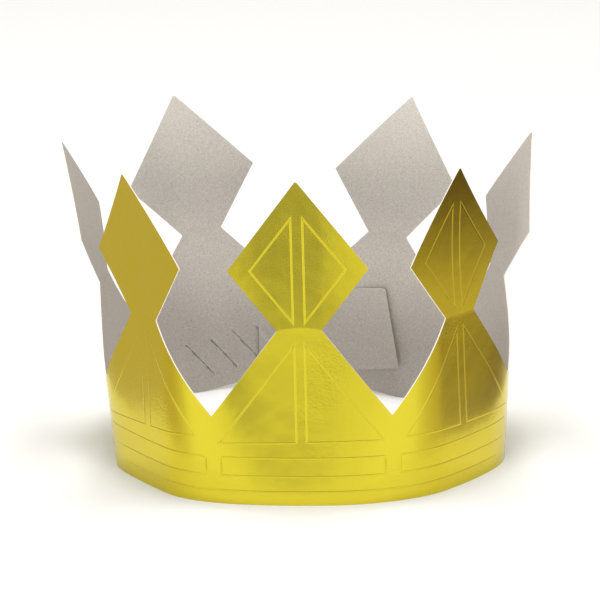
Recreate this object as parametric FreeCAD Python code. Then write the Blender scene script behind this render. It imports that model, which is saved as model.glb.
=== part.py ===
import FreeCAD, Part
import math
import os
from collections import namedtuple

Vector = FreeCAD.Vector
Rotation = FreeCAD.Rotation

# A paper party crown: one long strip of foil-faced board, cut with seven points and closed into
# a ring with its ends overlapped at the back. Millimetres, +Z up, its lower edge stands on z = 0.
# Each point is a triangle that narrows to a neck, with a diamond folded back above the neck.

# The sheet
BOARD = 0.5                 # thickness of the foil-faced board
BAND_HEIGHT = 40.3          # lower edge to the bottom of a notch
NECK_HEIGHT = 80.5          # lower edge to the fold at the neck, along the point
NECK_WIDTH = 20.5
DIAMOND_WIDTH = 64.2        # over the diamond's side corners
DIAMOND_LOWER = 27.7        # neck to the side corners
DIAMOND_UPPER = 40.5        # side corners to the tip
TIP_WIDTH = 1.0             # the cut tip isn't a perfect needle

# The ring
RING_RADIUS = 89.6          # ring centre to the middle of a point's foot
FOOT_FLAT = 26.0            # straight stretch at the middle of each point
ROUND_BEND = 0.36           # pull of an easy bend between two points, as a share of its chord
SHARP_BEND = 0.50           # the same for a bend that has been creased
CREASED_BENDS = (1, 5)      # the creased bends, each named for the point before it

# How each point of this crown stands, going round from the front:
# swing   degrees round the ring from its even place
# out     mm outwards from the ring radius
# turn    degrees that its foot is turned from facing straight out
# lean    degrees that its triangle leans outwards
# fold    degrees that its diamond is folded further outwards
# roll    degrees that the strip is rolled in its own plane here
# twist   degrees between the neck and the line through the diamond's side corners
# bow     mm that the middle of the diamond bows inwards
Stand = namedtuple("Stand", "swing out turn lean fold roll twist bow")
STANDS = (
    Stand(swing=-1.0, out=-2.5, turn=-1.0, lean=-7.5, fold=3.0, roll=1.0, twist=0.0, bow=0.5),
    Stand(swing=-0.5, out=3.0, turn=-1.5, lean=-2.0, fold=1.0, roll=-1.5, twist=0.0, bow=2.3),
    Stand(swing=-2.5, out=-3.0, turn=5.0, lean=5.0, fold=9.5, roll=0.5, twist=-0.5, bow=1.6),
    Stand(swing=1.0, out=-7.4, turn=-2.0, lean=6.0, fold=13.5, roll=2.5, twist=-3.0, bow=2.5),
    Stand(swing=-1.5, out=4.3, turn=-2.5, lean=8.0, fold=6.5, roll=-6.0, twist=5.5, bow=1.5),
    Stand(swing=1.0, out=-5.5, turn=4.0, lean=9.5, fold=6.0, roll=-1.5, twist=-3.0, bow=1.5),
    Stand(swing=0.5, out=2.0, turn=-3.5, lean=0.0, fold=6.0, roll=3.5, twist=-1.5, bow=1.8),
)
POINTS = len(STANDS)
OUTER_POINT = 3             # the strip's end that leaves this point runs outside the other
INNER_POINT = 4             # the strip's end that leaves this point runs inside

# The overlap at the back
LAYER_GAP = 0.5             # between the two layers
INNER_RISE = 7.3            # degrees that the inner end climbs
OUTER_RISE = 6.5            # degrees that the outer end climbs
INNER_REACH = 11.0          # inner end, past the middle of the outer point
OUTER_SHORT = 17.0          # outer end, short of the middle of the inner point
INNER_STAND_OFF = 3.5       # the inner end springs this far off the wall behind it
END_CORNER_RADIUS = 2.0     # rounded upper corner of the inner end
INNER_TAPER = 1.4           # how much narrower the inner end gets, from below
INNER_TAPER_LENGTH = 24.0   # over this length

# The row of slits that makes the ring adjustable
SLIT_COUNT = 8
SLIT_PITCH = 12.0
SLIT_RUN = 13.0             # a slit's extent along the strip
SLIT_DROP = 15.5            # and down it
SLIT_TOP = 25.8             # top of the slits above the strip's lower edge
SLIT_WIDTH = 0.4
USED_SLIT = 3               # slits between the left end of the row and the one in use
USED_SLIT_WIDTH = 1.4       # the corner that goes through it pushes it open
CORNER_GAP = 0.4            # between the tucked corner and the layer that it lies on
CORNER_STEP = 4.0           # length of the step from the strip's edge up to the tucked corner
SLIT_END_CLEARANCE = 1.0    # from each end of the slit to the board that passes through it

# The raised lines embossed on the foil side
LINE_WIDTH = 1.4
LINE_HEIGHT = 0.3
LINE_ROOT = 0.2             # how far a line's solid reaches into the board
DIAMOND_MARGIN = 7.5        # cut edge to the line round a diamond
DIAMOND_SPINE = 4.2         # between the two lines down the middle of a diamond
TRIANGLE_MARGIN = 9.5       # cut edge to the line round a triangle
TRIANGLE_SPINE = 3.5        # between the two lines down the middle of a triangle
TRIANGLE_BASE = 28.3        # strip's lower edge to the triangle's base line
PANEL_BOTTOM = 12.6         # the long panel on the band, between these two heights
PANEL_TOP = 22.2
PANEL_SPACE = 6.0           # between the long panels of two neighbours

X = Vector(1, 0, 0)
Y = Vector(0, 1, 0)
Z = Vector(0, 0, 1)
WALL_TOP = 1.15 * NECK_HEIGHT       # the wall is made this high, then cut to its outline
REACH = 0.3 * RING_RADIUS           # how far a cutter reaches each way through the wall
FLANK_OPENING = 0.25                # how far a notch's cutter opens, as a share of its height
DIAMOND_HEIGHT = DIAMOND_LOWER + DIAMOND_UPPER

Frame = namedtuple("Frame", "foot across axis cross out level lean")
Node = namedtuple("Node", "point side offset")


def frame(i):
    """Place of a point: its foot, the level direction across it, its own axis and cross
    direction in the plane of its triangle, and the directions out of it."""
    stand = STANDS[i % POINTS]
    place = math.radians(360.0 * (i % POINTS) / POINTS + stand.swing)
    facing = place + math.radians(stand.turn)
    foot = Vector(math.sin(place), -math.cos(place), 0) * (RING_RADIUS + stand.out)
    across = Vector(math.cos(facing), math.sin(facing), 0)
    level = Vector(math.sin(facing), -math.cos(facing), 0)
    lean = math.radians(stand.lean)
    up = Z * math.cos(lean) + level * math.sin(lean)
    out = across.cross(up)
    rolled = Rotation(out, stand.roll)
    return Frame(foot, across, rolled.multVec(up), rolled.multVec(across), out, level, lean)


def on_triangle(i, x, y):
    """Place on the foil side of a triangle: x across its axis, y up it from the lower edge."""
    f = frame(i)
    return f.foot + f.cross * x + f.axis * y


def wall_point(node, z, depth=0.0):
    """Place on the wall at height z, a depth in from the foil side."""
    f = frame(node.point)
    out = (node.offset - depth) / math.cos(f.lean)
    return f.foot + f.axis * (z / f.axis.z) + f.across * (node.side * FOOT_FLAT / 2) + f.level * out


def stretch(a, b, z, depth=0.0):
    """Poles of the wall between two nodes: straight on one point, a smooth bend between two."""
    start, end = wall_point(a, z, depth), wall_point(b, z, depth)
    if a.point == b.point:
        return [start, end]
    fullness = SHARP_BEND if a.point in CREASED_BENDS else ROUND_BEND
    pull = fullness * (end - start).Length
    return [start, start + frame(a.point).across * pull, end - frame(b.point).across * pull, end]


def edge(poles):
    if len(poles) == 2:
        return Part.LineSegment(poles[0], poles[1]).toShape()
    curve = Part.BezierCurve()
    curve.setPoles(poles)
    return curve.toShape()


def bend_middle(i, z):
    """Middle of the bend after point i, on the foil side at height z."""
    curve = edge(stretch(Node(i % POINTS, 1, 0.0), Node((i + 1) % POINTS, -1, 0.0), z))
    return curve.valueAt((curve.FirstParameter + curve.LastParameter) / 2)


def outline(nodes, z, outer, inner):
    """Closed outline of the sheet at height z, between two depths in from the foil side."""
    pairs = list(zip(nodes[:-1], nodes[1:]))
    outside = [stretch(a, b, z, outer) for a, b in pairs]
    inside = [stretch(a, b, z, inner)[::-1] for a, b in reversed(pairs)]
    far_end = [outside[-1][-1], inside[0][0]]
    near_end = [inside[-1][-1], outside[0][0]]
    return Part.Wire([edge(poles) for poles in outside + [far_end] + inside + [near_end]])


def sheet(nodes, outer=0.0, inner=BOARD):
    """Wall of the strip along the nodes, ruled between its lowest and highest outline."""
    return Part.makeLoft([outline(nodes, z, outer, inner) for z in (0, WALL_TOP)], True, True)


def prism(points, direction):
    """Solid with the given outline that runs straight through the wall."""
    base = points[0]
    flat = [p - direction * direction.dot(p - base) - direction * REACH for p in points]
    return Part.Face(Part.makePolygon(flat + flat[:1])).extrude(direction * (2 * REACH))


def round_nodes():
    """The strip between the inner point and the outer point, round the front."""
    nodes = [Node(INNER_POINT, 1, 0.0)]
    for step in range(1, POINTS - 1):
        point = (INNER_POINT + step) % POINTS
        nodes += [Node(point, -1, 0.0), Node(point, 1, 0.0)]
    return nodes + [Node(OUTER_POINT, -1, 0.0)]


def inner_nodes():
    """The inner end of the strip: it runs inside the outer layer and springs off at its end."""
    return [Node(OUTER_POINT, -1, -INNER_STAND_OFF), Node(OUTER_POINT, 1, -BOARD - LAYER_GAP),
            Node(INNER_POINT, -1, 0.0), Node(INNER_POINT, 1, 0.0)]


def outer_nodes():
    """The outer end of the strip: it runs outside the inner layer."""
    return [Node(OUTER_POINT, -1, 0.0), Node(OUTER_POINT, 1, 0.0),
            Node(INNER_POINT, -1, BOARD + LAYER_GAP), Node(INNER_POINT, 0, BOARD + LAYER_GAP)]


def flank(i, side, bottoms):
    """What is cut away above the slanted edge from a neck down to the bottom of a notch, and
    on along the edge's further places. It opens upwards, to meet the neighbour's cut."""
    top = on_triangle(i, side * NECK_WIDTH / 2, NECK_HEIGHT)
    lift = Z * WALL_TOP
    past = frame(i).across * (side * FLANK_OPENING * WALL_TOP)
    return prism([top] + bottoms + [bottoms[-1] + lift + past, top + lift], frame(i).out)


def notch(i):
    """The two flanks that meet at the bottom of the notch after point i."""
    bottom = bend_middle(i, BAND_HEIGHT)
    return [flank(i, 1, [bottom]), flank((i + 1) % POINTS, -1, [bottom])]


def leaving(point):
    """Where the strip starts to climb towards its end: the far side of a point's flat."""
    return wall_point(Node(point, 1 if point == INNER_POINT else -1, 0.0), 0)


def end_flanks(leaves, rise):
    """The slanted edges of the point that an end leaves: the far one as on any point, and the
    one at the back down to the strip's climbing upper edge and a little along it."""
    start = leaving(leaves)
    climb = math.tan(math.radians(rise))
    bottom = bend_middle(OUTER_POINT, BAND_HEIGHT)
    way = 1.0 if bottom.x > start.x else -1.0
    bottom += Z * (abs(bottom.x - start.x) * climb)
    beyond = bottom + (X * way + Z * climb) * END_CORNER_RADIUS
    side = -1 if leaves == INNER_POINT else 1
    far = bend_middle(leaves if side < 0 else leaves - 1, BAND_HEIGHT)
    return [flank(leaves, side, [bottom, beyond]), flank(leaves, -side, [far])]


def mitre(i):
    """Normal of the plane halfway between a triangle and its folded diamond."""
    f = frame(i)
    return Rotation(f.cross, STANDS[i].fold / 2).multVec(f.axis)


def above_neck(i):
    """What is cut away above a neck, down to its mitre plane."""
    f = frame(i)
    normal = mitre(i)
    depth = f.cross.cross(normal)
    middle = on_triangle(i, 0, NECK_HEIGHT)
    square = ((-1, -1), (1, -1), (1, 1), (-1, 1))
    corners = [middle + (f.cross * x + depth * y) * NECK_WIDTH for x, y in square]
    return Part.Face(Part.makePolygon(corners + corners[:1])).extrude(normal * WALL_TOP)


def diamond_frame(i, height):
    """Middle of a diamond at a height above its neck, the line across it and its normal."""
    stand, f = STANDS[i], frame(i)
    share = height / DIAMOND_HEIGHT
    chord = Rotation(f.cross, stand.fold).multVec(f.axis)
    sag = 4 * stand.bow * (share - share * share)
    turned = stand.twist * min(1.0, height / DIAMOND_LOWER)
    line = Rotation(chord, -turned).multVec(f.cross)
    normal = line.cross(chord)
    middle = on_triangle(i, 0, NECK_HEIGHT) + chord * height - f.cross.cross(chord) * sag
    if height == 0:
        normal = line.cross(mitre(i)) / math.cos(math.radians(stand.fold / 2))
    return middle, line, normal


def folded_sheet(sections):
    """Solid whose skin runs in flat triangles between neighbouring four-cornered sections."""
    outlines = [sections[0][::-1], sections[-1]]
    for low, high in zip(sections[:-1], sections[1:]):
        for k in range(4):
            outlines.append([low[k - 1], low[k], high[k]])
            outlines.append([low[k - 1], high[k], high[k - 1]])
    faces = [Part.Face(Part.makePolygon(points + points[:1])) for points in outlines]
    return Part.Solid(Part.Shell(faces))


def diamond(i, outer=0.0, inner=BOARD):
    """One diamond, in thin sections from the neck by the side corners to the tip."""
    upper_middle = (DIAMOND_LOWER + DIAMOND_HEIGHT) / 2
    places = ((0, NECK_WIDTH), (DIAMOND_LOWER, DIAMOND_WIDTH),
              (upper_middle, (DIAMOND_WIDTH + TIP_WIDTH) / 2), (DIAMOND_HEIGHT, TIP_WIDTH))
    sections = []
    for height, width in places:
        middle, line, normal = diamond_frame(i, height)
        front, back, half = middle - normal * outer, middle - normal * inner, line * (width / 2)
        sections.append([front - half, front + half, back + half, back - half])
    return folded_sheet(sections)


def strip_keep(leaves, rise, lower_edge, corner_radius=0.0):
    """What an end of the strip keeps, cut along Y: its climbing band, and above it the room for
    the triangle of the point that it leaves. The lower edge is a list of places up to the cut
    end, each with its height above the band's climbing edge."""
    start = leaving(leaves)
    finish_x = lower_edge[-1][0]
    climb = math.tan(math.radians(rise))
    way = 1.0 if finish_x > start.x else -1.0

    def edge_point(x, height):
        return Vector(x, start.y, height + abs(x - start.x) * climb)

    square = (Z - X * (way * climb)).normalize()
    along = (X * way + Z * climb).normalize()
    corner = edge_point(finish_x, 0) + square * BAND_HEIGHT
    middle = (along + square) * (corner_radius * (1 - math.sqrt(0.5)))
    high = [corner - square * corner_radius, corner - middle, corner - along * corner_radius]
    lower = [edge_point(x, lift) for x, lift in lower_edge]
    dip = edge_point(bend_middle(OUTER_POINT, 0).x, BAND_HEIGHT)
    behind = start.x - way * FOOT_FLAT
    room = [dip, Vector(dip.x, start.y, WALL_TOP), Vector(behind, start.y, WALL_TOP)]
    high = high if corner_radius else [corner]
    return prism([Vector(behind, start.y, -BOARD), start] + lower + high + room, Y)


def outer_finish_x():
    f = frame(INNER_POINT)
    return (f.foot - f.across * OUTER_SHORT).x


def inner_finish_x():
    f = frame(OUTER_POINT)
    return (f.foot - f.across * INNER_REACH).x


def slit_ends(number):
    """Upper and lower end of a slit, seen along Y; the row climbs with the strip's inner end."""
    start = leaving(INNER_POINT)
    x = outer_finish_x() + (number - USED_SLIT) * SLIT_PITCH * abs(frame(INNER_POINT).across.x)
    climb = math.tan(math.radians(INNER_RISE))
    top = Vector(x, start.y, SLIT_TOP + (x - start.x) * climb)
    return top, top + X * SLIT_RUN - Z * SLIT_DROP


def slit(number, width, shorter=0.0):
    """Cutter along a slit, as wide as given and shorter by a clearance at each end."""
    top, bottom = slit_ends(number)
    along = (bottom - top).normalize()
    top, bottom = top + along * shorter, bottom - along * shorter
    half = along.cross(Y) * (width / 2)
    return prism([top - half, bottom - half, bottom + half, top + half], Y)


def slits():
    return [slit(k, USED_SLIT_WIDTH if k == USED_SLIT else SLIT_WIDTH) for k in range(SLIT_COUNT)]


def tucked_corner():
    """The corner of the outer end that goes in through its slit, seen along Y."""
    top, bottom = slit_ends(USED_SLIT)
    return prism([top, bottom, Vector(top.x, top.y, bottom.z)], Y)


def sides_meet(sides, extra):
    """Corners of an outline whose sides are each set in by their own margin and an extra one.

    A side is (start, end, margin) with its inside to the left."""
    lines = []
    for (ax, ay), (bx, by), margin in sides:
        way = Vector(bx - ax, by - ay, 0).normalize()
        lines.append((Vector(ax, ay, 0) + Z.cross(way) * (margin + extra), way))
    corners = []
    for (p, d), (q, e) in zip(lines[-1:] + lines[:-1], lines):
        run = (q - p).cross(e).z / d.cross(e).z
        corners.append(p + d * run)
    return corners


def raised_line(sides, place, direction):
    """Cutter for a closed line: between an outline and the same outline set further in."""
    faces = []
    for extra in (0.0, LINE_WIDTH):
        flat = [place(c.x, c.y) for c in sides_meet(sides, extra)]
        flat = [p - direction * direction.dot(p - flat[0]) - direction * REACH for p in flat]
        faces.append(Part.Face(Part.makePolygon(flat + flat[:1])))
    return faces[0].cut(faces[1]).extrude(direction * (2 * REACH))


def diamond_lines(i):
    """Two mirrored triangles on a diamond, each a closed line."""
    middle, line, normal = diamond_frame(i, DIAMOND_HEIGHT)
    chord = normal.cross(line)
    sides = [((NECK_WIDTH / 2, 0), (DIAMOND_WIDTH / 2, DIAMOND_LOWER), DIAMOND_MARGIN),
             ((DIAMOND_WIDTH / 2, DIAMOND_LOWER), (0, DIAMOND_HEIGHT), DIAMOND_MARGIN),
             ((0, DIAMOND_HEIGHT), (0, 0), DIAMOND_SPINE / 2)]

    def place(side):
        return lambda x, y: middle + line * (side * x) + chord * (y - DIAMOND_HEIGHT)

    return [raised_line(sides, place(side), normal) for side in (-1, 1)]


def half_foot(i, side):
    """Bottom of the notch beside a point, as a place on the point's own plane."""
    f = frame(i)
    bottom = bend_middle(i if side > 0 else i - 1, BAND_HEIGHT) - f.foot
    return abs(bottom.dot(f.cross)), bottom.dot(f.axis)


def triangle_lines(i, side):
    """Half of a point's triangle below the neck, a closed line."""
    base = ((0, TRIANGLE_BASE), (RING_RADIUS, TRIANGLE_BASE), 0.0)
    slant = (half_foot(i, side), (NECK_WIDTH / 2, NECK_HEIGHT), TRIANGLE_MARGIN)
    spine = ((0, NECK_HEIGHT), (0, 0), TRIANGLE_SPINE / 2)
    return raised_line([base, slant, spine], lambda x, y: on_triangle(i, side * x, y), frame(i).out)


def panel_line(i):
    """The long panel on the band below a point, a closed line."""
    f = frame(i)
    left, right = half_foot(i, -1)[0], half_foot(i, 1)[0]
    height = PANEL_TOP - PANEL_BOTTOM
    sides = [((-left, 0), (right, 0), 0.0), ((right, 0), (right, height), PANEL_SPACE / 2),
             ((right, height), (-left, height), 0.0), ((-left, height), (-left, 0), PANEL_SPACE / 2)]

    def place(x, y):
        return f.foot + f.across * x + Z * (PANEL_BOTTOM + y)

    return raised_line(sides, place, f.level)


def cut_points(body):
    """The strip with its notches cut and everything above the necks taken off."""
    notches = [flank for i in range(POINTS) if i != OUTER_POINT for flank in notch(i)]
    return body.cut(notches + [above_neck(i) for i in range(POINTS)])


def embossing():
    """The raised lines that lie on the wall."""
    wall = sheet(round_nodes(), -LINE_HEIGHT, LINE_ROOT)
    outer = sheet(outer_nodes(), -LINE_HEIGHT, LINE_ROOT)
    inner = sheet(inner_nodes(), -LINE_HEIGHT, LINE_ROOT)
    whole = [i for i in range(POINTS) if i not in (OUTER_POINT, INNER_POINT)]
    cutters = [triangle_lines(i, side) for i in whole for side in (-1, 1)]
    cutters += [panel_line(i) for i in whole]
    lines = [wall.common(cutter) for cutter in cutters]
    for skin, i, side in ((wall, INNER_POINT, 1), (inner, INNER_POINT, 1),
                          (wall, OUTER_POINT, -1), (outer, OUTER_POINT, -1),
                          (outer, OUTER_POINT, 1)):
        lines.append(skin.common(triangle_lines(i, side)))
    return lines


def tuck():
    """The tucked corner inside, and the board that joins it to the outer end through the slit."""
    through = BOARD + CORNER_GAP
    corner = sheet(inner_nodes(), through, through + BOARD).common(tucked_corner())
    neck = sheet(inner_nodes(), -BOARD - LAYER_GAP, through + BOARD)
    return [corner, neck.common(slit(USED_SLIT, BOARD, SLIT_END_CLEARANCE))]


def inner_end():
    """The inner end and the point that it leaves; it gets narrower towards its cut end."""
    finish = inner_finish_x()
    lower_edge = [(finish - INNER_TAPER_LENGTH, 0), (finish, INNER_TAPER)]
    keep = strip_keep(INNER_POINT, INNER_RISE, lower_edge, END_CORNER_RADIUS)
    flanks = end_flanks(INNER_POINT, INNER_RISE)
    return sheet(inner_nodes()).common(keep).cut(flanks + [above_neck(INNER_POINT)])


def outer_end():
    """The outer end and the point that it leaves, without the corner that is tucked in; its
    lower edge steps up to that corner."""
    _, slit_bottom = slit_ends(USED_SLIT)
    start, climb = leaving(OUTER_POINT), math.tan(math.radians(OUTER_RISE))
    lower_edge = [(slit_bottom.x + CORNER_STEP, 0)]
    for x in (slit_bottom.x, outer_finish_x()):
        lower_edge.append((x, slit_bottom.z - (start.x - x) * climb))
    keep = strip_keep(OUTER_POINT, OUTER_RISE, lower_edge)
    flanks = end_flanks(OUTER_POINT, OUTER_RISE)
    return sheet(outer_nodes()).common(keep).cut(
        flanks + [above_neck(OUTER_POINT), tucked_corner()])


def crown():
    """The whole folded sheet."""
    slotted = cut_points(sheet(round_nodes())).fuse(inner_end()).cut(slits())
    parts = [outer_end()] + tuck() + embossing()
    for i in range(POINTS):
        skin = diamond(i, -LINE_HEIGHT, LINE_ROOT)
        parts += [diamond(i)] + [skin.common(cutter) for cutter in diamond_lines(i)]
    return slotted.fuse(parts)


def main():
    shape = crown()
    box = shape.optimalBoundingBox(False, False)
    shape.translate(Vector(-box.Center.x, -box.Center.y, -box.ZMin))
    print("crown", shape.isValid(), "solids", len(shape.Solids), "volume", round(shape.Volume, 1),
          "box", round(box.XLength, 1), round(box.YLength, 1), round(box.ZLength, 1),
          "centre", round(box.Center.x, 2), round(box.Center.y, 2))
    os.makedirs("parts", exist_ok=True)
    shape.exportStep("parts/crown.step")


main()
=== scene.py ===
import math
from collections import namedtuple

import bmesh
import bpy
import numpy as np
from mathutils import Matrix, Vector


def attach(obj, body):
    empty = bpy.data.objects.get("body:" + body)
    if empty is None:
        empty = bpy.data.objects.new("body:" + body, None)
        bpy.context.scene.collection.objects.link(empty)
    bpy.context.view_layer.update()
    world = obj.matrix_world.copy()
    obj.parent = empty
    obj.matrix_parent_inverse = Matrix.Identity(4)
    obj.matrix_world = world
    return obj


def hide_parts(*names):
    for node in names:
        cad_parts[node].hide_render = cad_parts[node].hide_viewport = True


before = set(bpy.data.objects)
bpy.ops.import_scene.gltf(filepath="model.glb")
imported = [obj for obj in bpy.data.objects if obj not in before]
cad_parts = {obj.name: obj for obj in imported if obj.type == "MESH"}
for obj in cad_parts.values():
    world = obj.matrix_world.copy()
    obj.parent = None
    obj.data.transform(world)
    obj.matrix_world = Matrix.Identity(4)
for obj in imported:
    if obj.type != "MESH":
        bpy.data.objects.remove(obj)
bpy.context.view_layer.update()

# The paper crown's sheet, in millimetres. The values are those of the part's source, apart
# from the sharper bends, bellies, curls and arches, the raised lines, the slits and how far the
# two ends reach and the inner one rises, which follow the photograph more closely here.

MM = 0.001
BOARD = 0.5
BAND_HEIGHT = 40.3
NECK_HEIGHT = 80.5
NECK_WIDTH = 20.5
DIAMOND_WIDTH = 64.2
DIAMOND_LOWER = 27.7
DIAMOND_UPPER = 40.5
DIAMOND_HEIGHT = DIAMOND_LOWER + DIAMOND_UPPER
TIP_WIDTH = 1.0
RING_RADIUS = 89.6
RING_CENTRE = np.array([2.59, -9.37, 0.0])      # of the ring in the part's own frame
FOOT_FLAT = 26.0
ROUND_BEND, CREASED_BENDS = 0.36, {1: 0.50, 5: 0.58}
# How far each point's foot bows out at the lower edge, and the half width that bows
BELLIES = (1.7, 2.3, 1.0, 0.0, 0.0, 1.0, 1.5)
HALF_SPAN = 41.0

# How each point stands, going round from the front: swing, out, turn, lean, fold, roll, twist
# and bow, in degrees and millimetres
Stand = namedtuple("Stand", "swing out turn lean fold roll twist bow")
STANDS = (
    Stand(-1.0, -2.5, -1.0, -7.5, 3.0, 1.0, 0.0, 0.5),
    Stand(-0.5, 3.0, -1.5, -2.0, 1.0, -1.5, 0.0, 2.3),
    Stand(-2.5, -3.0, 5.0, 5.0, 9.5, 0.5, -0.5, 1.6),
    Stand(1.0, -7.4, -2.0, 6.0, 13.5, 2.5, -3.0, 2.5),
    Stand(-1.5, 4.3, -2.5, 8.0, 6.5, -6.0, 5.5, 1.5),
    Stand(1.0, -5.5, 4.0, 9.5, 6.0, -1.5, -3.0, 1.5),
    Stand(0.5, 2.0, -3.5, 0.0, 6.0, 3.5, -1.5, 1.8),
)
POINTS = len(STANDS)
OUTER_POINT, INNER_POINT = 3, 4

LAYER_GAP = 0.5
INNER_RISE, OUTER_RISE = 8.3, 6.5
INNER_REACH, OUTER_SHORT = 13.0, 16.1
INNER_STAND_OFF = 3.5
END_CORNER_RADIUS = 2.0
INNER_TAPER, INNER_TAPER_LENGTH = 1.4, 24.0
SLIT_COUNT, SLIT_PITCH = 8, 12.6
SLIT_RUN, SLIT_DROP, SLIT_TOP = 13.0, 15.5, 25.8
SLIT_WIDTH, USED_SLIT, USED_SLIT_WIDTH = 0.16, 3, 1.2
CORNER_GAP, CORNER_STEP = 1.0, 4.0

CROSS_BOW = (1.0, 0.6, 0.4, 0.0, 0.0, 0.4, 0.3)     # how far the diamonds' side corners curl back
CREASE_ARCH = 1.3           # the fold at a neck is higher in the middle
LINE_WIDTH, LINE_HEIGHT = 1.2, 0.13
DIAMOND_MARGIN, DIAMOND_SPINE = 7.5, 4.2
TRIANGLE_MARGIN, TRIANGLE_SPINE, TRIANGLE_BASE = 9.5, 3.5, 28.3
PANEL_BOTTOM, PANEL_TOP, PANEL_SPACE = 12.6, 22.2, 6.0
HEM_LINE = 5.6              # height of the line round the band, which only this script has

STEP = 2.0                  # spacing of the mesh
CORNER_SPACING, STEP_UP_SPACING, SLIT_SPACING = 0.25, 1.0, 0.8     # at the two ends
FOLD_REACH = 2.0            # how far above a neck the fold's finer rows go
FOLD_ROWS, LOWER_ROWS, UPPER_ROWS = 7, 14, 22
RIM_ROWS = 3                # rows over which the bared edge grows
SLOPE_DETAIL = 1.25         # a notch's slope is this much longer than its height
TUCK_ROWS, TUCK_COLUMNS = 9, 27
TUCK_START = 2.8            # where on the strip the search for the tucked corner starts
TUCK_RUN = 2.4              # the corner changes layer over this distance
SQUARE_CORNER = 0.01        # rounding of a corner that is left square
WELD = 0.02                 # places closer than this are joined
SUNK = 0.01                 # a raised line's rims lie this deep in the foil
BLADES_REACH = (40.0, 110.0)    # the slit blades go back from the first to the second
SHARP_ANGLE = 38.0          # edges that turn more than this are drawn sharp
EDGE_SLANT = 0.15           # the cut goes through the board at a slant, which bares its edge
FOIL, CARD, CUT = range(3)  # material slots of the sheet

# The studio: the photograph's camera in pixels, millimetres and degrees, a pale floor and the
# room round it
CAMERA_DISTANCE = 1876.0
CAMERA_ELEVATION = 16.83
CAMERA_TARGET = RING_CENTRE + np.array([0, 0, 70.0])
CAMERA_ROLL = -0.66
FOCAL_PIXELS = 3973.0
IMAGE_SIZE = 600
PRINCIPAL = (304.4, 302.5)

NEAR_FLOOR = 0.18           # radius in metres of the floor that the foil mirrors
FLOOR_SIZE = 6.0            # radius in metres of the whole floor
FLOOR_SIDES = 96

# The room that the foil mirrors. Each soft panel has the direction that it lies in, as degrees
# to the right of the camera and above the level, the half angles at which it is full and gone,
# and its colour. A later panel covers an earlier one.
ROOM = (0.25, 0.21, 0.17)
Panel = namedtuple("Panel", "right above full gone colour")
PANELS = (
    Panel(-105, -5, 30, 65, (0.70, 0.62, 0.45)),
    Panel(105, 0, 35, 75, (0.76, 0.67, 0.54)),
    Panel(107, -40, 16, 36, (0.11, 0.07, 0.05)),
    Panel(0, -5, 42, 78, (1.12, 1.14, 1.06)),
    Panel(-33, -10, 8, 22, (1.26, 1.28, 1.34)),
    Panel(33, -10, 8, 22, (1.26, 1.28, 1.34)),
    Panel(-6, -9, 4, 8, (0.26, 0.26, 0.25)),
    Panel(0, 90, 45, 80, (0.20, 0.20, 0.20)),
)

X, Y, Z = np.eye(3)


def unit(v):
    return v / np.linalg.norm(v, axis=-1, keepdims=True)


def turned(v, axis, degrees):
    """A vector turned about an axis by the right-hand rule."""
    c, s = math.cos(math.radians(degrees)), math.sin(math.radians(degrees))
    return v * c + np.cross(axis, v) * s + axis * (np.dot(axis, v) * (1 - c))


Frame = namedtuple("Frame", "foot across axis cross out level lean")


def point_frame(i):
    """Foot of a point, level direction across it, its axis and cross direction in its plane,
    the direction out of that plane and the level direction out."""
    stand = STANDS[i % POINTS]
    place = math.radians(360.0 * (i % POINTS) / POINTS + stand.swing)
    facing = place + math.radians(stand.turn)
    foot = np.array([math.sin(place), -math.cos(place), 0]) * (RING_RADIUS + stand.out)
    across = np.array([math.cos(facing), math.sin(facing), 0])
    level = np.array([math.sin(facing), -math.cos(facing), 0])
    lean = math.radians(stand.lean)
    up = Z * math.cos(lean) + level * math.sin(lean)
    out = np.cross(across, up)
    return Frame(foot + RING_CENTRE, across, turned(up, out, stand.roll),
                 turned(across, out, stand.roll), out, level, lean)


FRAMES = [point_frame(i) for i in range(POINTS)]
Node = namedtuple("Node", "point side offset")


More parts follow.
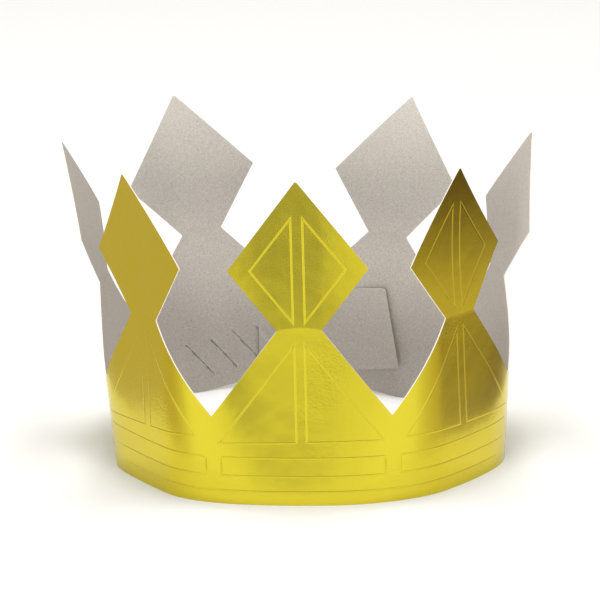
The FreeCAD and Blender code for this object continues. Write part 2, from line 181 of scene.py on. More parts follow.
def wall(nodes, s, z, depth=0.0):
    """Place on the strip: s counts along its nodes, z is the height, depth goes in from the foil.

    Between the two nodes of one point the strip is straight. Between two points it is a cubic
    Bezier that leaves each along that point's level direction, so the wall is ruled upwards.
    On top of that each point's foot bows out by the square of a cosine, less and less upwards."""
    s, z, depth = np.broadcast_arrays(np.asarray(s, float), z, depth)
    k = np.clip(np.floor(s).astype(int), 0, len(nodes) - 2)
    t = (s - k)[..., None]
    f = [FRAMES[n.point] for n in nodes]
    table = {name: np.array([getattr(p, name) for p in f]) for name in Frame._fields}
    side = np.array([n.side * FOOT_FLAT / 2 for n in nodes])
    offset = np.array([n.offset for n in nodes])
    point = np.array([n.point for n in nodes])
    fullness = np.array([CREASED_BENDS.get(n.point, ROUND_BEND) for n in nodes])

    def node_at(j):
        axis = table["axis"][j]
        out = (offset[j] - depth) / np.cos(table["lean"][j])
        return (table["foot"][j] + axis * (z / axis[..., 2])[..., None]
                + table["across"][j] * side[j][..., None] + table["level"][j] * out[..., None])

    a, b = node_at(k), node_at(k + 1)
    chord = np.linalg.norm(b - a, axis=-1, keepdims=True)
    flat = (point[k] == point[k + 1])[..., None]
    pull = np.where(flat, 1 / 3, fullness[k][..., None]) * chord
    leave = np.where(flat, (b - a) / chord, table["across"][k])
    arrive = np.where(flat, (b - a) / chord, table["across"][k + 1])
    u = 1 - t
    place = (u ** 3 * a + 3 * u ** 2 * t * (a + leave * pull)
             + 3 * u * t ** 2 * (b - arrive * pull) + t ** 3 * b)
    t = t[..., 0]
    owner = np.where(t < 0.5, point[k], point[k + 1])
    half = FOOT_FLAT / 2
    aside = np.where(flat[..., 0], np.abs(t - 0.5) * FOOT_FLAT,
                     half + 2 * (HALF_SPAN - half) * np.minimum(t, 1 - t))
    push = (np.array(BELLIES)[owner] * np.cos(np.pi / 2 * np.clip(aside / HALF_SPAN, 0, 1)) ** 2
            * np.clip(1 - z / NECK_HEIGHT, 0, 1))
    level = np.array([f.level for f in FRAMES])[owner]
    return place + level * push[..., None]


def wall_normal(nodes, s, z):
    """Direction out of the foil side."""
    along = wall(nodes, s + 0.01, z) - wall(nodes, s - 0.01, z)
    upwards = wall(nodes, s, z + 0.5) - wall(nodes, s, z - 0.5)
    return unit(np.cross(along, upwards))


def land(nodes, target, direction, s):
    """Strip coordinates of the places on the foil that are seen at the targets along a
    direction, by Newton's method from a first guess of s."""
    e1 = unit(np.cross(direction, Z))
    e2 = np.cross(e1, direction)
    s, z = np.broadcast_arrays(np.asarray(s, float), target[..., 2])
    for _ in range(8):
        p = wall(nodes, s, z)
        along = (wall(nodes, s + 1e-3, z) - p) / 1e-3
        upwards = (wall(nodes, s, z + 1e-2) - p) / 1e-2
        miss = target - p
        a, b, c, d = along @ e1, upwards @ e1, along @ e2, upwards @ e2
        m1, m2 = miss @ e1, miss @ e2
        det = a * d - b * c
        s = np.clip(s + (m1 * d - m2 * b) / det, 0, len(nodes) - 1)
        z = z + (a * m2 - c * m1) / det
    return s, z


def on_triangle(i, x, y):
    """Place in a point's plane: x across its axis and y up it, from the lower edge."""
    f = FRAMES[i]
    return f.foot + f.cross * np.asarray(x)[..., None] + f.axis * np.asarray(y)[..., None]


def smooth(t):
    t = np.clip(t, 0, 1)
    return t * t * (3 - 2 * t)


def diamond(i, x, y, depth=0.0):
    """Place on a diamond, x across and y up from its neck: it is folded outwards at the neck
    along an arched crease, twisted up to its side corners, bowed inwards along a parabola, and
    its sides curl back with the square of the distance from the middle."""
    x, y, depth = np.broadcast_arrays(np.asarray(x, float), y, depth)
    stand, f = STANDS[i], FRAMES[i]
    chord = turned(f.axis, f.cross, stand.fold)
    share = y / DIAMOND_HEIGHT
    sag = 4 * stand.bow * (share - share ** 2)
    angle = np.radians(stand.twist) * np.minimum(1, y / DIAMOND_LOWER)
    back = np.cross(f.cross, chord)
    line = f.cross * np.cos(angle)[..., None] + back * np.sin(angle)[..., None]
    normal = np.cross(line, chord)
    sag = sag + CROSS_BOW[i] * (x / (DIAMOND_WIDTH / 2)) ** 2 * smooth(y / DIAMOND_LOWER)
    arch = CREASE_ARCH * np.clip(1 - (2 * x / NECK_WIDTH) ** 2, 0, 1)
    unfolded = np.minimum(y, arch)
    mitre = np.cross(f.cross, turned(f.axis, f.cross, stand.fold / 2))
    mitre = mitre / math.cos(math.radians(stand.fold / 2))
    normal = np.where((y <= 0)[..., None], mitre, normal)
    return (on_triangle(i, 0, NECK_HEIGHT) + chord * (y - unfolded)[..., None]
            + f.axis * unfolded[..., None] - back * sag[..., None]
            + line * x[..., None] - normal * depth[..., None])


def diamond_half_width(y):
    return np.interp(y, [0, DIAMOND_LOWER, DIAMOND_HEIGHT],
                     [NECK_WIDTH / 2, DIAMOND_WIDTH / 2, TIP_WIDTH / 2])


# The three stretches of the strip, each as nodes

ROUND = [Node(INNER_POINT, -1, 0.0), Node(INNER_POINT, 1, 0.0)]
for step in range(1, POINTS - 1):
    ROUND += [Node((INNER_POINT + step) % POINTS, side, 0.0) for side in (-1, 1)]
ROUND += [Node(OUTER_POINT, -1, 0.0), Node(OUTER_POINT, 1, 0.0)]
OVER = BOARD + LAYER_GAP
INNER = [Node(OUTER_POINT, -1, -INNER_STAND_OFF), Node(OUTER_POINT, 1, -OVER),
         Node(INNER_POINT, -1, 0.0), Node(INNER_POINT, 1, 0.0), Node(5, -1, 0.0)]
OUTER = [Node(2, 1, 0.0), Node(OUTER_POINT, -1, 0.0), Node(OUTER_POINT, 1, 0.0),
         Node(INNER_POINT, -1, OVER), Node(INNER_POINT, 1, OVER)]
BACK_NOTCH_X = wall(OUTER, 2.5, 0.0)[0]


def climb(rise):
    return math.tan(math.radians(rise))


def lengths(nodes):
    """Distance along the strip at closely spaced s, half way up the band."""
    s = np.linspace(0, len(nodes) - 1, 40 * (len(nodes) - 1) + 1)
    p = wall(nodes, s, BAND_HEIGHT / 2)
    run = np.concatenate([[0], np.cumsum(np.linalg.norm(np.diff(p, axis=0), axis=1))])
    return s, run


class Sheet:
    """Collects patches of the sheet, each a grid of places on its two sides."""

    def __init__(self):
        self.verts, self.faces, self.slots, self.uvs = [], [], [], []
        self.count = 0

    def grid(self, places, slot, uv, flip=False):
        rows, cols = places.shape[:2]
        index = self.count + np.arange(rows * cols).reshape(rows, cols)
        quads = np.stack([index[:-1, :-1], index[:-1, 1:], index[1:, 1:], index[1:, :-1]], -1)
        quads = quads.reshape(-1, 4)
        self.faces.append(quads[:, ::-1] if flip else quads)
        self.verts.append(places.reshape(-1, 3))
        self.uvs.append(uv.reshape(-1, 2))
        self.slots.append(np.full(len(quads), slot))
        self.count += rows * cols

    def patch(self, outer, inner, uv, cut=()):
        """Both sides of a patch and the cut edges named low, high, left and right."""
        self.grid(outer, FOIL, uv)
        self.grid(inner, CARD, uv, flip=True)
        sides = {"low": (0, slice(None), False), "high": (-1, slice(None), True),
                 "left": (slice(None), 0, True), "right": (slice(None), -1, False)}
        for name in cut:
            r, c, flip = sides[name]
            edge = np.stack([inner[r, c], outer[r, c]])
            self.grid(edge, CUT, np.stack([uv[r, c], uv[r, c]]), flip)

    def mesh(self, name):
        mesh = bpy.data.meshes.new(name)
        verts = np.concatenate(self.verts) * MM
        faces = np.concatenate(self.faces)
        mesh.from_pydata(verts.tolist(), [], faces.tolist())
        mesh.polygons.foreach_set("material_index", np.concatenate(self.slots).astype(np.int32))
        layer = mesh.uv_layers.new(name="strip")
        layer.data.foreach_set("uv", (np.concatenate(self.uvs)[faces.ravel()] * MM).ravel())
        return mesh


def band_columns(nodes, left, right):
    """Values of s from left to right, evenly spaced along the strip."""
    s, run = lengths(nodes)
    a, b = np.interp([left, right], s, run)
    count = max(2, int(round((b - a) / STEP)) + 1)
    return np.interp(np.linspace(a, b, count), run, s)


def leaving_x(point):
    """Where the strip starts to climb towards its end: the far side of a point's flat."""
    f = FRAMES[point]
    return (f.foot + f.across * (FOOT_FLAT / 2 if point == INNER_POINT else -FOOT_FLAT / 2))[0]


def low_edge(nodes, s, point, rise):
    """Height of the lower edge: on the table, or climbing along x towards an end."""
    way = 1.0 if point == INNER_POINT else -1.0
    z = np.zeros_like(s)
    for _ in range(4):
        x = wall(nodes, s, z)[..., 0]
        z = np.maximum(0, (x - leaving_x(point)) * way) * climb(rise)
    return z


def distance_uv(nodes, s, z):
    grid_s, run = lengths(nodes)
    return np.stack([np.interp(s, grid_s, run), np.broadcast_to(z, s.shape)], -1)


def add_point(sheet, nodes, i, left, right, rises=(0.0, 0.0)):
    """One point of the crown with its stretch of band, from notch to notch, as a single grid
    that narrows to the neck, widens to the side corners and narrows again to the tip."""
    columns = band_columns(nodes, left, right)
    f = FRAMES[i]
    low = low_edge(nodes, columns, i, rises[0] or rises[1])
    bottoms = []
    for s, r in ((left, rises[0]), (right, rises[1])):
        p = wall(nodes, s, BAND_HEIGHT)
        bottoms.append(p + Z * abs(BACK_NOTCH_X - leaving_x(i)) * climb(r) if r else p)
    seen = [np.array([(p - f.foot) @ f.cross, (p - f.foot) @ f.axis]) for p in bottoms]

    rows = int(round(BAND_HEIGHT / STEP)) + 1
    share = np.linspace(0, 1, rows)[:, None]
    edge_s, edge_z = [], []
    steps = int(round((NECK_HEIGHT - BAND_HEIGHT) * SLOPE_DETAIL / STEP))
    slope = np.linspace(0, 1, steps + 1)
    for k, side in ((0, -1), (1, 1)):
        x = seen[k][0] + (side * NECK_WIDTH / 2 - seen[k][0]) * slope
        y = seen[k][1] + (NECK_HEIGHT - seen[k][1]) * slope
        guess = np.interp(slope, [0, 1], [(left, right)[k], (left + right) / 2])
        s, z = land(nodes, on_triangle(i, x, y), f.out, guess)
        edge_s.append(s)
        edge_z.append(z)

    grid_s, run = lengths(nodes)
    even = np.interp(columns, grid_s, run)
    even = (even - even[0]) / (even[-1] - even[0])
    ends = [np.interp(s, grid_s, run) for s in edge_s]
    tri_s = np.interp(ends[0][:, None] + (ends[1] - ends[0])[:, None] * even, run, grid_s)
    tri_z = edge_z[0][:, None] + (edge_z[1] - edge_z[0])[:, None] * even
    band_top_z = tri_z[0]
    band_s = columns + (tri_s[0] - columns) * share
    band_z = low + (band_top_z - low) * share
    uv = distance_uv(nodes, band_s, band_z)
    sheet.patch(wall(nodes, band_s, band_z), wall(nodes, band_s, band_z, BOARD), uv, ["low"])

    outer, inner = wall(nodes, tri_s, tri_z), wall(nodes, tri_s, tri_z, BOARD)
    x = (2 * even - 1) * NECK_WIDTH / 2
    inner[-1], outer[-1] = diamond(i, x, 0.0, BOARD), diamond(i, x, 0.0)
    rim = np.minimum(1, np.arange(len(outer)) / RIM_ROWS)[:, None] * EDGE_SLANT
    outer[:, 0] += unit(outer[:, 1] - outer[:, 0]) * rim
    outer[:, -1] += unit(outer[:, -2] - outer[:, -1]) * rim
    sheet.patch(outer, inner, distance_uv(nodes, tri_s, tri_z), ["left", "right"])

    y = np.concatenate([np.linspace(0, FOLD_REACH, FOLD_ROWS),
                        np.linspace(FOLD_REACH, DIAMOND_LOWER, LOWER_ROWS)[1:],
                        np.linspace(DIAMOND_LOWER, DIAMOND_HEIGHT, UPPER_ROWS)[1:]])[:, None]
    x = (2 * even - 1) * diamond_half_width(y)
    middle = np.interp((left + right) / 2, grid_s, run)
    uv = np.stack([middle + x, NECK_HEIGHT + y + 0 * x], -1)
    sheet.patch(diamond(i, x, y), diamond(i, x, y, BOARD), uv, ["left", "right", "high"])
    return band_s[:, [0, -1]], band_z[:, [0, -1]]


def rounded(distance, radius):
    """How far a corner's rounding has drawn the edge in, at a distance from the end."""
    d = np.clip(radius - distance, 0, radius)
    return radius - np.sqrt(radius ** 2 - d ** 2)


def climbed(leaves, rise, x):
    """Height of an end's lower edge at x, above the table that it leaves at a point's flat."""
    return np.abs(x - leaving_x(leaves)) * climb(rise)


def upper_corner(leaves, finish_x, rise):
    """Upper corner of a strip's end, as x and z. The end is cut square to its lower edge."""
    way = 1.0 if finish_x > leaving_x(leaves) else -1.0
    low = np.array([finish_x, climbed(leaves, rise, finish_x)])
    return low + unit(np.array([-way * climb(rise), 1.0])) * BAND_HEIGHT


def end_places(nodes, leaves, finish_x, rise, joint, columns_low, radius):
    """The x and the strip coordinates of a strip's end, as a grid from the notch to the cut end.
    columns_low are places on its lower outline as x and z; its upper outline is the strip's
    climbing upper edge, with the last corner rounded."""
    high = upper_corner(leaves, finish_x, rise)
    joint_s, joint_z = joint
    dip = wall(nodes, joint_s[-1], joint_z[-1])
    share = (columns_low[:, 0] - columns_low[0, 0]) / (columns_low[-1, 0] - columns_low[0, 0])
    high_x = dip[0] + (high[0] - dip[0]) * share
    high_z = dip[2] + (high[1] - dip[2]) * share
    from_end = np.abs(high[0] - high_x)
    high_z = high_z - rounded(from_end, radius)
    low_z = columns_low[:, 1]
    rows = np.linspace(0, 1, len(joint_s))[:, None]
    x = columns_low[:, 0] + (high_x - columns_low[:, 0]) * rows
    z = low_z + (high_z - low_z) * rows
    target = np.stack([x, np.full_like(x, dip[1]), z], -1)
    s, z = land(nodes, target, Y, joint_s[0])
    s[:, 0], z[:, 0] = joint_s, joint_z
    return x, s, z


def slit_ends(number):
    """Upper and lower end of a slit, as x and z."""
    f = FRAMES[INNER_POINT]
    x = outer_finish_x() + (number - USED_SLIT) * SLIT_PITCH * abs(f.across[0])
    top = np.array([x, SLIT_TOP + (x - leaving_x(INNER_POINT)) * climb(INNER_RISE)])
    return top, top + np.array([SLIT_RUN, -SLIT_DROP])


def outer_finish_x():
    f = FRAMES[INNER_POINT]
    return (f.foot - f.across * OUTER_SHORT)[0]


def inner_finish_x():
    f = FRAMES[OUTER_POINT]
    return (f.foot - f.across * INNER_REACH)[0]


def tuck_depth(x, z):
    """How far the outer end has sunk from its own layer to the inside, near the slit in use."""
    top, _ = slit_ends(USED_SLIT)
    past = ((top[0] - x) * SLIT_DROP + (top[1] - z) * SLIT_RUN) / math.hypot(SLIT_RUN, SLIT_DROP)
    return smooth((past + TUCK_RUN / 2) / TUCK_RUN) * (OVER + BOARD + CORNER_GAP)


def spaced(a, b, step):
    return np.linspace(a, b, max(2, int(round(abs(b - a) / step)) + 1))


def add_inner_end(sheet, joint):
    finish = inner_finish_x()
    start = wall(INNER, joint[0][0], joint[1][0])
    turn = finish - END_CORNER_RADIUS
    x = np.concatenate([spaced(start[0], turn, STEP)[:-1], spaced(turn, finish, CORNER_SPACING)])
    taper = INNER_TAPER * np.clip(1 - (finish - x) / INNER_TAPER_LENGTH, 0, 1)
    columns = np.stack([x, climbed(INNER_POINT, INNER_RISE, x) + taper], -1)
    _, s, z = end_places(INNER, INNER_POINT, finish, INNER_RISE, joint, columns,
                         END_CORNER_RADIUS)
    sheet.patch(wall(INNER, s, z), wall(INNER, s, z, BOARD), distance_uv(INNER, s, z),
                ["low", "high", "right"])


def add_outer_end(sheet, joint):
    """The outer end with its corner cut free along the slit's line, and the corner itself as a
    triangle that goes on through the slit to the inside."""
    finish = outer_finish_x()
    start = wall(OUTER, joint[0][0], joint[1][0])
    top, bottom = slit_ends(USED_SLIT)
    step_x = bottom[0] + CORNER_STEP
    x1 = spaced(start[0], step_x, STEP)
    x2 = spaced(step_x, bottom[0], STEP_UP_SPACING)[1:]
    x3 = spaced(bottom[0], top[0], SLIT_SPACING)[1:]
    z1 = climbed(OUTER_POINT, OUTER_RISE, x1)
    z2 = np.interp(x2, [bottom[0], step_x],
                   [bottom[1], climbed(OUTER_POINT, OUTER_RISE, step_x)])
    z3 = np.interp(x3, [top[0], bottom[0]], [top[1], bottom[1]])
    columns = np.stack([np.concatenate([x1, x2, x3]), np.concatenate([z1, z2, z3])], -1)
    x, s, z = end_places(OUTER, OUTER_POINT, finish, OUTER_RISE, joint, columns, SQUARE_CORNER)
    extra = tuck_depth(x, z)
    sheet.patch(wall(OUTER, s, z, extra), wall(OUTER, s, z, extra + BOARD),
                distance_uv(OUTER, s, z), ["low", "high", "right"])

    along = np.linspace(0, 1, TUCK_COLUMNS)[None, :]
    past = np.linspace(0, 1, TUCK_ROWS)[::-1, None]
    reach = np.minimum(along, 1 - along) * past
    x = top[0] + SLIT_RUN * (along - reach)
    z = top[1] - SLIT_DROP * (along + reach)
    target = np.stack([x, np.full_like(x, start[1]), z], -1)
    s, z2 = land(OUTER, target, Y, TUCK_START)
    extra = tuck_depth(x, z)
    uv = distance_uv(OUTER, s, z2)
    sheet.patch(wall(OUTER, s, z2, extra), wall(OUTER, s, z2, extra + BOARD), uv, ["low", "high"])


# The raised lines: places across a line, as shares of its width, and its height there

PROFILE = np.array([0.0, 0.12, 0.25, 0.38, 0.5, 0.62, 0.75, 0.88, 1.0])
RIDGE = np.sin(np.pi * PROFILE) ** 2 * LINE_HEIGHT - SUNK


def inset(sides, extra):
    """Corners of an outline whose sides are each set in by their own margin and an extra one.
    A side is (start, end, margin) with its inside to the left."""
    lines = []
    for a, b, margin in sides:
        way = unit(np.subtract(b, a))
        lines.append((np.array(a) + np.array([-way[1], way[0]]) * (margin + extra), way))
    corners = []
    for (p, d), (q, e) in zip(lines[-1:] + lines[:-1], lines):
        run = np.cross(q - p, e) / np.cross(d, e)
        corners.append(p + d * run)
    return np.array(corners)


def line_grid(sides):
    """Flat coordinates of a closed line: round the outline, and across the line's width."""
    rings = []
    for p in PROFILE:
        corners = inset(sides, p * LINE_WIDTH)
        closed = np.vstack([corners, corners[:1]])
        first = inset(sides, 0.0)
        whole = np.vstack([first, first[:1]])
        ring = []
        for k in range(len(corners)):
            count = max(3, int(round(np.linalg.norm(whole[k + 1] - whole[k]) / STEP)) + 1)
            t = np.linspace(0, 1, count)[:-1, None]
            ring.append(closed[k] + (closed[k + 1] - closed[k]) * t)
        ring = np.vstack(ring)
        rings.append(np.vstack([ring, ring[:1]]))
    return np.array(rings)


def add_wall_line(sheet, nodes, target, direction, guess):
    s, z = land(nodes, target, direction, guess)
    places = wall(nodes, s, z) + wall_normal(nodes, s, z) * RIDGE[:, None, None]
    sheet.grid(places, FOIL, distance_uv(nodes, s, z))


def triangle_lines(sheet, nodes, i, side, bottom, guess):
    """Half of a point's triangle below the neck."""
    f = FRAMES[i]
    half = (abs((bottom - f.foot) @ f.cross), (bottom - f.foot) @ f.axis)
    sides = [((0, TRIANGLE_BASE), (RING_RADIUS, TRIANGLE_BASE), 0.0),
             (half, (NECK_WIDTH / 2, NECK_HEIGHT), TRIANGLE_MARGIN),
             ((0, NECK_HEIGHT), (0, 0), TRIANGLE_SPINE / 2)]
    flat = line_grid(sides)
    if side > 0:
        flat = flat[:, ::-1]
    target = on_triangle(i, flat[..., 0] * side, flat[..., 1])
    add_wall_line(sheet, nodes, target, f.out, guess)


def diamond_lines(sheet, i):
    sides = [((NECK_WIDTH / 2, 0), (DIAMOND_WIDTH / 2, DIAMOND_LOWER), DIAMOND_MARGIN),
             ((DIAMOND_WIDTH / 2, DIAMOND_LOWER), (0, DIAMOND_HEIGHT), DIAMOND_MARGIN),
             ((0, DIAMOND_HEIGHT), (0, 0), DIAMOND_SPINE / 2)]
    flat = line_grid(sides)
    for side in (-1, 1):
        ring = flat[:, ::-1] if side > 0 else flat
        places = diamond(i, ring[..., 0] * side, ring[..., 1], -RIDGE[:, None])
        uv = np.stack([ring[..., 0] * side, NECK_HEIGHT + ring[..., 1]], -1)
        sheet.grid(places, FOIL, uv)


def panel_lines(sheet, nodes, left, right):
    """The long panel on the band under a point, drawn in distances along the strip."""
    grid_s, run = lengths(nodes)
    a, b = np.interp([left, right], grid_s, run)
    height = PANEL_TOP - PANEL_BOTTOM
    sides = [((a, 0), (b, 0), 0.0), ((b, 0), (b, height), PANEL_SPACE / 2),
             ((b, height), (a, height), 0.0), ((a, height), (a, 0), PANEL_SPACE / 2)]
    flat = line_grid(sides)[:, ::-1]
    s = np.interp(flat[..., 0], run, grid_s)
    z = PANEL_BOTTOM + flat[..., 1]
    places = wall(nodes, s, z) + wall_normal(nodes, s, z) * RIDGE[:, None, None]
    sheet.grid(places, FOIL, distance_uv(nodes, s, z))


def hem_line(sheet, nodes, left, right):
    s = band_columns(nodes, left, right)[None, :]
    z = HEM_LINE + PROFILE[:, None] * LINE_WIDTH + 0 * s
    s = s + 0 * z
    places = wall(nodes, s, z) + wall_normal(nodes, s, z) * RIDGE[:, None, None]
    sheet.grid(places, FOIL, distance_uv(nodes, s, z))


def merged(mesh):
    """The mesh with its patches joined where they meet."""
    bm = bmesh.new()
    bm.from_mesh(mesh)
    bmesh.ops.remove_doubles(bm, verts=bm.verts, dist=WELD * MM)
    bm.to_mesh(mesh)
    bm.free()


def linear(code):
    """Colour for a shader from an sRGB hex code."""
    values = [int(code[k:k + 2], 16) / 255 for k in (1, 3, 5)]
    return [v / 12.92 if v <= 0.04045 else ((v + 0.055) / 1.055) ** 2.4 for v in values] + [1.0]


def add_node(tree, kind, links=(), **settings):
    """A shader node with its settings and links. A setting that isn't the node's own is the
    value of the input of that name."""
    node = tree.nodes.new(kind)
    for key, value in settings.items():
        if hasattr(node, key):
            setattr(node, key, value)
        else:
            node.inputs[key.replace("_", " ")].default_value = value
    for socket, source in dict(links).items():
        tree.links.new(source, node.inputs[socket])
    return node


class Nodes:
    """The shader nodes of one material."""

    def __init__(self, name):
        self.material = bpy.data.materials.new(name)
        self.material.use_nodes = True
        self.tree = self.material.node_tree
        self.shader = self.tree.nodes["Principled BSDF"]

    def add(self, kind, links=(), **settings):
        return add_node(self.tree, kind, links, **settings)

    def link(self, source, socket):
        self.tree.links.new(source, self.shader.inputs[socket])


def foil_material():
    """Metallised yellow film on board under clear lacquer: a soft mirror, broken up by the
    board's fibres and, in patches, by the fine crinkles that cutting and folding leave."""
    n = Nodes("metallised_foil")
    n.shader.inputs["Metallic"].default_value = 1.0
    n.shader.inputs["Base Color"].default_value = linear("#D4C220")
    n.shader.inputs["Roughness"].default_value = 0.2
    n.shader.inputs["Coat Weight"].default_value = 0.6
    n.shader.inputs["Coat Roughness"].default_value = 0.35
    where = n.add("ShaderNodeTexCoord").outputs["Object"]
    fibres = n.add("ShaderNodeTexNoise", {"Vector": where}, Scale=1100.0, Detail=4.0,
                   Roughness=0.6)
    waves = n.add("ShaderNodeTexNoise", {"Vector": where}, Scale=55.0, Detail=2.0)
    crinkles = n.add("ShaderNodeTexNoise", {"Vector": where}, Scale=800.0, Detail=3.0,
                     Roughness=0.6)
    patches = n.add("ShaderNodeTexNoise", {"Vector": where}, Scale=26.0, Detail=1.0)
    amount = n.add("ShaderNodeMapRange", {"Value": patches.outputs["Fac"]},
                   interpolation_type="SMOOTHSTEP", From_Min=0.5, From_Max=0.72)
    height = n.add("ShaderNodeMath", {0: crinkles.outputs["Fac"], 1: amount.outputs["Result"]},
                   operation="MULTIPLY")
    smooth_waves = n.add("ShaderNodeBump", {"Height": waves.outputs["Fac"]}, Strength=1.0,
                         Distance=0.00022)
    crinkled = n.add("ShaderNodeBump", {"Height": height.outputs[0],
                                        "Normal": smooth_waves.outputs["Normal"]},
                     Strength=1.0, Distance=0.00009)
    fine = n.add("ShaderNodeBump", {"Height": fibres.outputs["Fac"],
                                    "Normal": crinkled.outputs["Normal"]}, Strength=1.0,
                 Distance=0.00001)
    n.link(fine.outputs["Normal"], "Normal")
    return n.material


def card_material():
    """Grey recycled board: matt, warm grey, with short darker fibres and a few dark specks."""
    n = Nodes("recycled_board")
    n.shader.inputs["Roughness"].default_value = 0.95
    where = n.add("ShaderNodeTexCoord").outputs["Object"]
    cloud = n.add("ShaderNodeTexNoise", {"Vector": where}, Scale=1300.0, Detail=4.0,
                  Roughness=0.7)
    tone = n.add("ShaderNodeValToRGB", {"Fac": cloud.outputs["Fac"]})
    tone.color_ramp.elements[0].position, tone.color_ramp.elements[1].position = 0.3, 0.7
    tone.color_ramp.elements[0].color = linear("#A8A19A")
    tone.color_ramp.elements[1].color = linear("#CBC4BC")
    grains = n.add("ShaderNodeTexVoronoi", {"Vector": where}, Scale=450.0)
    speck = n.add("ShaderNodeMapRange", {"Value": grains.outputs["Distance"]}, From_Min=0.08,
                  From_Max=0.15)
    chance = n.add("ShaderNodeSeparateColor", {"Color": grains.outputs["Color"]})
    rare = n.add("ShaderNodeMath", {0: chance.outputs["Red"]}, operation="LESS_THAN")
    rare.inputs[1].default_value = 0.88
    bare = n.add("ShaderNodeMath", {0: speck.outputs["Result"], 1: rare.outputs[0]},
                 operation="MAXIMUM")
    colour = n.add("ShaderNodeMix", {"Factor": bare.outputs[0], 7: tone.outputs["Color"]},
                   data_type="RGBA")
    colour.inputs[6].default_value = linear("#8C8379")
    n.link(colour.outputs[2], "Base Color")
    bump = n.add("ShaderNodeBump", {"Height": cloud.outputs["Fac"]}, Strength=0.4,
                 Distance=0.00005)
    n.link(bump.outputs["Normal"], "Normal")
    return n.material


def cut_material():
    """The board's cut edge: pale torn fibre."""
    n = Nodes("cut_board_edge")
    n.shader.inputs["Roughness"].default_value = 0.85
    n.shader.inputs["Base Color"].default_value = linear("#E4DDD0")
    return n.material


def slit_cutter():
    """Thin upright blades through the inner end, one for each slit."""
    verts, faces = [], []
    for k in range(SLIT_COUNT):
        width = USED_SLIT_WIDTH if k == USED_SLIT else SLIT_WIDTH
        top, bottom = slit_ends(k)
        half = unit(np.array([SLIT_DROP, SLIT_RUN])) * width / 2
        outline = [top - half, bottom - half, bottom + half, top + half]
        base = len(verts)
        for y in BLADES_REACH:
            verts += [(p[0] * MM, y * MM, p[1] * MM) for p in outline]
        faces += [[base + 3, base + 2, base + 1, base], [base + 4, base + 5, base + 6, base + 7]]
        faces += [[base + j, base + (j + 1) % 4, base + 4 + (j + 1) % 4, base + 4 + j]
                  for j in range(4)]
    mesh = bpy.data.meshes.new("slit_blades")
    mesh.from_pydata(verts, [], faces)
    return mesh


def build_crown():
    main, wing, lines = Sheet(), Sheet(), Sheet()
    for step in range(1, POINTS - 1):
        i = (INNER_POINT + step) % POINTS
        add_point(main, ROUND, i, 2 * step - 0.5, 2 * step + 1.5)
    s, z = add_point(main, INNER, INNER_POINT, 1.5, 3.5, (INNER_RISE, 0.0))
    add_inner_end(main, (s[:, 0], z[:, 0]))
    s, z = add_point(wing, OUTER, OUTER_POINT, 0.5, 2.5, (0.0, OUTER_RISE))
    add_outer_end(wing, (s[:, 1], z[:, 1]))

    for step in range(1, POINTS - 1):
        i = (INNER_POINT + step) % POINTS
        for side, s in ((-1, 2 * step - 0.5), (1, 2 * step + 1.5)):
            triangle_lines(lines, ROUND, i, side, wall(ROUND, s, BAND_HEIGHT), 2 * step + 0.5)
        panel_lines(lines, ROUND, 2 * step - 0.5, 2 * step + 1.5)
    triangle_lines(lines, INNER, INNER_POINT, 1, wall(INNER, 3.5, BAND_HEIGHT), 2.5)
    for side, s in ((-1, 0.5), (1, 2.5)):
        triangle_lines(lines, OUTER, OUTER_POINT, side, wall(OUTER, s, BAND_HEIGHT), 1.5)
    hem_line(lines, ROUND, 0.5, 12.5)
    for i in range(POINTS):
        diamond_lines(lines, i)
    return main, wing, lines


def new_object(name, mesh, materials):
    obj = bpy.data.objects.new(name, mesh)
    bpy.context.scene.collection.objects.link(obj)
    for m in materials:
        mesh.materials.append(m)
    return obj


def finish_surface(mesh):
    mesh.shade_smooth()
    mesh.set_sharp_from_angle(angle=math.radians(SHARP_ANGLE))


materials = [foil_material(), card_material(), cut_material()]
main, wing, lines = build_crown()
main_mesh, wing_mesh, line_mesh = (s.mesh(n) for s, n in ((main, "crown_ring"),
                                                          (wing, "crown_outer_end"),
                                                          (lines, "crown_raised_lines")))
for mesh in (main_mesh, wing_mesh):
    merged(mesh)
ring = new_object("crown_ring", main_mesh, materials)
blades = new_object("slit_blades", slit_cutter(), [])
cut = ring.modifiers.new("slits", "BOOLEAN")
cut.operation, cut.solver, cut.object = "DIFFERENCE", "EXACT", blades
bpy.context.view_layer.update()
depsgraph = bpy.context.evaluated_depsgraph_get()
slotted = bpy.data.meshes.new_from_object(ring.evaluated_get(depsgraph))
ring.modifiers.clear()
ring.data = slotted
bpy.data.objects.remove(blades)
outer_end = new_object("crown_outer_end", wing_mesh, materials)
raised = new_object("crown_raised_lines", line_mesh, materials)
for obj in (ring, outer_end, raised):
    finish_surface(obj.data)
    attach(obj, "root")
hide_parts("crown")


# The studio


def add_camera():
    data = bpy.data.cameras.new("camera")
    cam = bpy.data.objects.new("camera", data)
    bpy.context.scene.collection.objects.link(cam)
    e = math.radians(CAMERA_ELEVATION)
    back = np.array([0, -math.cos(e), math.sin(e)])
    right, up = X, np.array([0, math.sin(e), math.cos(e)])
    r = math.radians(CAMERA_ROLL)
    right, up = right * math.cos(r) + up * math.sin(r), up * math.cos(r) - right * math.sin(r)
    place = (CAMERA_TARGET + back * CAMERA_DISTANCE) * MM
    cam.matrix_world = Matrix([[right[k], up[k], back[k], place[k]] for k in range(3)]
                              + [[0, 0, 0, 1]])
    data.sensor_width = data.sensor_height = 36.0
    data.sensor_fit = "HORIZONTAL"
    data.lens = FOCAL_PIXELS / IMAGE_SIZE * data.sensor_width
    data.shift_x = (IMAGE_SIZE / 2 - PRINCIPAL[0]) / IMAGE_SIZE
    data.shift_y = (PRINCIPAL[1] - IMAGE_SIZE / 2) / IMAGE_SIZE
    data.clip_end = 100.0
    bpy.context.scene.camera = cam


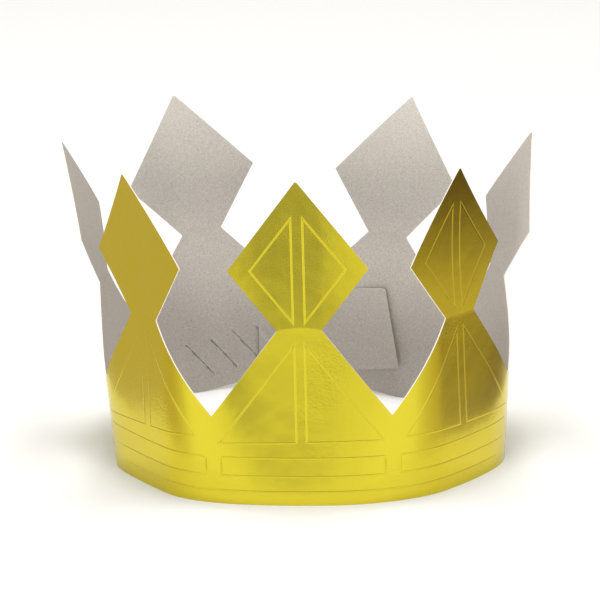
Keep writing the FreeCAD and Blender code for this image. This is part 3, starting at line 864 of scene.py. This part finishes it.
def add_light(name, place, aim, size, power, mirrored=True):
    data = bpy.data.lights.new(name, "AREA")
    data.shape = "RECTANGLE"
    data.size, data.size_y = size
    data.energy = power
    light = bpy.data.objects.new(name, data)
    light.visible_glossy = mirrored
    light.location = place
    light.rotation_euler = (Vector(aim) - Vector(place)).to_track_quat("-Z", "Y").to_euler()
    bpy.context.scene.collection.objects.link(light)


def add_floor():
    """A pale floor, as a disc and the ring round it, each a circle of places. Only the disc shows
    in the foil, which mirrors the room's panels beyond it."""
    n = Nodes("floor")
    n.shader.inputs["Base Color"].default_value = linear("#F7F7F6")
    n.shader.inputs["Roughness"].default_value = 0.8
    turn = np.linspace(0, 2 * math.pi, FLOOR_SIDES + 1)[:-1]
    circle = np.stack([np.cos(turn), np.sin(turn), 0 * turn], -1)
    k = np.arange(FLOOR_SIDES)
    after = (k + 1) % FLOOR_SIDES
    ring = np.stack([k, k + FLOOR_SIDES, after + FLOOR_SIDES, after], -1)
    near = circle * NEAR_FLOOR
    far = np.concatenate([near, circle * FLOOR_SIZE])
    for name, places, faces, mirrored in (("floor_near", near, [k], True),
                                          ("floor_far", far, ring, False)):
        mesh = bpy.data.meshes.new(name)
        mesh.from_pydata(places.tolist(), [], [list(map(int, face)) for face in faces])
        floor = new_object(name, mesh, [n.material])
        floor.visible_glossy = mirrored


def studio_world():
    """Lays the panels over the room, each by the angle between its direction and the view's."""
    world = bpy.data.worlds.new("studio")
    bpy.context.scene.world = world
    world.use_nodes = True
    tree = world.node_tree
    view = tree.nodes.new("ShaderNodeTexCoord").outputs["Generated"]
    colour = None
    for panel in PANELS:
        right, above = math.radians(panel.right), math.radians(panel.above)
        near = add_node(tree, "ShaderNodeVectorMath", {0: view}, operation="DOT_PRODUCT")
        near.inputs[1].default_value = (math.sin(right) * math.cos(above),
                                        -math.cos(right) * math.cos(above), math.sin(above))
        share = add_node(tree, "ShaderNodeMapRange", {"Value": near.outputs["Value"]},
                         interpolation_type="SMOOTHSTEP",
                         From_Min=math.cos(math.radians(panel.gone)),
                         From_Max=math.cos(math.radians(panel.full)))
        mix = add_node(tree, "ShaderNodeMix", {"Factor": share.outputs["Result"]},
                       data_type="RGBA")
        mix.inputs[6].default_value = (*ROOM, 1)
        mix.inputs[7].default_value = (*panel.colour, 1)
        if colour:
            tree.links.new(colour, mix.inputs[6])
        colour = mix.outputs[2]
    tree.links.new(colour, tree.nodes["Background"].inputs["Color"])


studio_world()
bpy.context.scene.view_settings.view_transform = "Standard"
add_floor()
add_camera()
add_light("overhead", (0, 0.2, 2.4), (0, 0.2, 0), (1.4, 1.4), 56.0)
add_light("front", (-0.5, -2.2, 0.22), (0, 0, 0.08), (1.2, 0.3), 31.0, mirrored=False)
